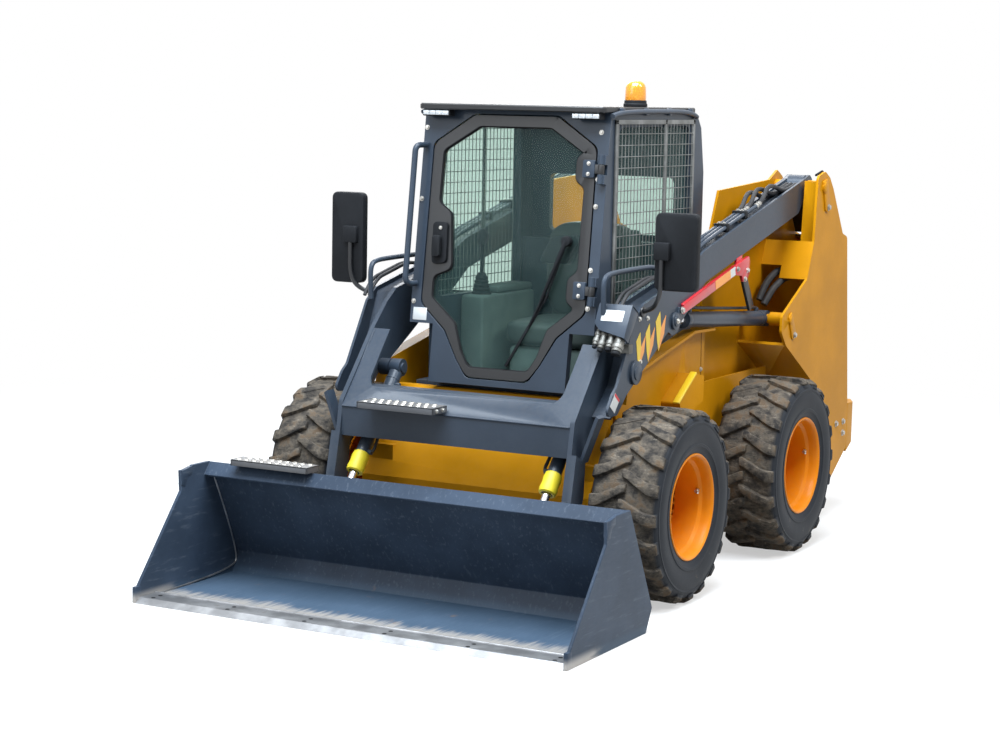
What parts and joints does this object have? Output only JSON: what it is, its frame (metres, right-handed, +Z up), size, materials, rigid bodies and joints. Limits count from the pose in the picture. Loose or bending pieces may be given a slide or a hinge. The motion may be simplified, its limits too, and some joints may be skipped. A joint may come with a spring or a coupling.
{
  "type": "skid steer loader",
  "caption": "Compact skid steer loader: enclosed cab, radial lift arms with hydraulic cylinders, wide low bucket on a quick coupler, four lugged tyres, swinging front and rear doors.",
  "frame": {"origin": "on the ground, in the middle of the machine's length and width, bucket included", "axes": "+Z up, the bucket faces -Y, the machine's left side is +X"},
  "size_m": [1.975, 3.764, 2.146],
  "materials": {
    "machine_yellow": "glossy yellow-orange paint, dusty in the corners",
    "rim_yellow": "satin yellow-orange paint",
    "slate_blue": "satin slate blue-grey paint",
    "bucket_paint": "slate paint scuffed to steel on the floor",
    "worn_steel": "worn bright steel",
    "step_steel": "grey painted perforated steel",
    "rod_chrome": "hard chrome",
    "lock_red": "gloss red paint",
    "black_metal": "satin black",
    "black_plastic": "matte black",
    "tinted_glass": "green tinted safety glass",
    "seat_vinyl": "black vinyl under clear wrap",
    "lamp_lens": "clear lens over white reflector",
    "beacon_amber": "amber lens on a black foot",
    "tyre_rubber": "black rubber with dried mud"
  },
  "bodies": {
    "root": {"chassis_frame": "machine_yellow", "axles": "machine_yellow", "tower_left": "machine_yellow", "tower_right": "machine_yellow", "engine_block": "black_metal", "engine_hood": "machine_yellow", "rear_bumper": "machine_yellow", "cab_frame": "slate_blue", "cab_roof": "black_metal", "cab_windows": "tinted_glass", "screen_left": "black_metal", "screen_right": "black_metal", "seat": "seat_vinyl", "consoles": "black_plastic", "lamps": "lamp_lens", "beacon": "beacon_amber", "grab_handles": "slate_blue"},
    "cab_door": {"door_frame": "black_metal", "door_glass": "tinted_glass", "wiper": "black_plastic"},
    "rear_door": {"rear_door": "machine_yellow"},
    "arms": {"arm_left": "slate_blue", "arm_right": "slate_blue", "cross_beam": "slate_blue", "arm_step": "step_steel", "coupler_block": "slate_blue", "lift_lock": "lock_red", "arm_pipes": "slate_blue", "mirrors": "black_plastic"},
    "bucket": {"bucket": "bucket_paint", "cutting_edge": "worn_steel", "quick_coupler": "slate_blue", "bucket_step": "step_steel"},
    "lift_barrel_left": {"lift_barrel_left": "slate_blue"},
    "lift_rod_left": {"lift_rod_left": "rod_chrome"},
    "tilt_barrel_left": {"tilt_barrel_left": "slate_blue"},
    "tilt_rod_left": {"tilt_rod_left": "rod_chrome"},
    "lift_barrel_right": {"lift_barrel_right": "slate_blue"},
    "lift_rod_right": {"lift_rod_right": "rod_chrome"},
    "tilt_barrel_right": {"tilt_barrel_right": "slate_blue"},
    "tilt_rod_right": {"tilt_rod_right": "rod_chrome"},
    "wheel_front_left": {"tyre_front_left": "tyre_rubber", "rim_front_left": "rim_yellow"},
    "wheel_front_right": {"tyre_front_right": "tyre_rubber", "rim_front_right": "rim_yellow"},
    "wheel_rear_left": {"tyre_rear_left": "tyre_rubber", "rim_rear_left": "rim_yellow"},
    "wheel_rear_right": {"tyre_rear_right": "tyre_rubber", "rim_rear_right": "rim_yellow"}
  },
  "joints": [
    {"name": "lift", "type": "hinge", "parent": "root", "child": "arms", "pos_m": [0, 1.27, 1.661], "axis": [-1, 0, 0], "range_deg": [0, 62]},
    {"name": "bucket_tilt", "type": "hinge", "parent": "arms", "child": "bucket", "pos_m": [0, -1.125, 0.17], "axis": [1, 0, 0], "range_deg": [-28, 98]},
    {"name": "cab_door_swing", "type": "hinge", "parent": "root", "child": "cab_door", "pos_m": [0.43, -0.612, 1.35], "axis": [0, 0.125, 0.9922], "range_deg": [0, 90]},
    {"name": "rear_door_swing", "type": "hinge", "parent": "root", "child": "rear_door", "pos_m": [-0.475, 1.7, 0.9], "axis": [0, -0.1142, 0.9935], "range_deg": [0, 100]},
    {"name": "lift_barrel_left_swing", "type": "hinge", "parent": "root", "child": "lift_barrel_left", "pos_m": [0.602, 0.874, 1.047], "axis": [-1, 0, 0], "range_deg": [-1, 63]},
    {"name": "lift_rod_left_slide", "type": "slide", "parent": "lift_barrel_left", "child": "lift_rod_left", "axis": [0, -0.9975, 0.0706], "range_m": [-0.005, 0.765]},
    {"name": "tilt_barrel_left_swing", "type": "hinge", "parent": "arms", "child": "tilt_barrel_left", "pos_m": [0.46, -0.7, 0.886], "axis": [1, 0, 0], "range_deg": [-5, 3]},
    {"name": "tilt_rod_left_slide", "type": "slide", "parent": "tilt_barrel_left", "child": "tilt_rod_left", "axis": [0, -0.6428, -0.766], "range_m": [-0.085, 0.29]},
    {"name": "lift_barrel_right_swing", "type": "hinge", "parent": "root", "child": "lift_barrel_right", "pos_m": [-0.602, 0.874, 1.047], "axis": [-1, 0, 0], "range_deg": [-1, 63]},
    {"name": "lift_rod_right_slide", "type": "slide", "parent": "lift_barrel_right", "child": "lift_rod_right", "axis": [0, -0.9975, 0.0706], "range_m": [-0.005, 0.765]},
    {"name": "tilt_barrel_right_swing", "type": "hinge", "parent": "arms", "child": "tilt_barrel_right", "pos_m": [-0.46, -0.7, 0.886], "axis": [1, 0, 0], "range_deg": [-5, 3]},
    {"name": "tilt_rod_right_slide", "type": "slide", "parent": "tilt_barrel_right", "child": "tilt_rod_right", "axis": [0, -0.6428, -0.766], "range_m": [-0.085, 0.29]},
    {"name": "wheel_front_left_spin", "type": "hinge", "parent": "root", "child": "wheel_front_left", "pos_m": [0.778, -0.628, 0.404], "axis": [-1, 0, 0], "continuous": true},
    {"name": "wheel_front_right_spin", "type": "hinge", "parent": "root", "child": "wheel_front_right", "pos_m": [-0.778, -0.628, 0.404], "axis": [-1, 0, 0], "continuous": true},
    {"name": "wheel_rear_left_spin", "type": "hinge", "parent": "root", "child": "wheel_rear_left", "pos_m": [0.778, 0.628, 0.404], "axis": [-1, 0, 0], "continuous": true},
    {"name": "wheel_rear_right_spin", "type": "hinge", "parent": "root", "child": "wheel_rear_right", "pos_m": [-0.778, 0.628, 0.404], "axis": [-1, 0, 0], "continuous": true}
  ],
  "couplings": [
    {"joint": "lift_barrel_left_swing", "follows": "lift", "ratio": 0.9857},
    {"joint": "lift_rod_left_slide", "follows": "lift", "m_per_rad": 0.6952},
    {"joint": "tilt_barrel_left_swing", "follows": "bucket_tilt", "ratio": -0.03},
    {"joint": "tilt_rod_left_slide", "follows": "bucket_tilt", "m_per_rad": 0.165},
    {"joint": "lift_barrel_right_swing", "follows": "lift", "ratio": 0.9857},
    {"joint": "lift_rod_right_slide", "follows": "lift", "m_per_rad": 0.6952},
    {"joint": "tilt_barrel_right_swing", "follows": "bucket_tilt", "ratio": -0.03},
    {"joint": "tilt_rod_right_slide", "follows": "bucket_tilt", "m_per_rad": 0.165}
  ]
}
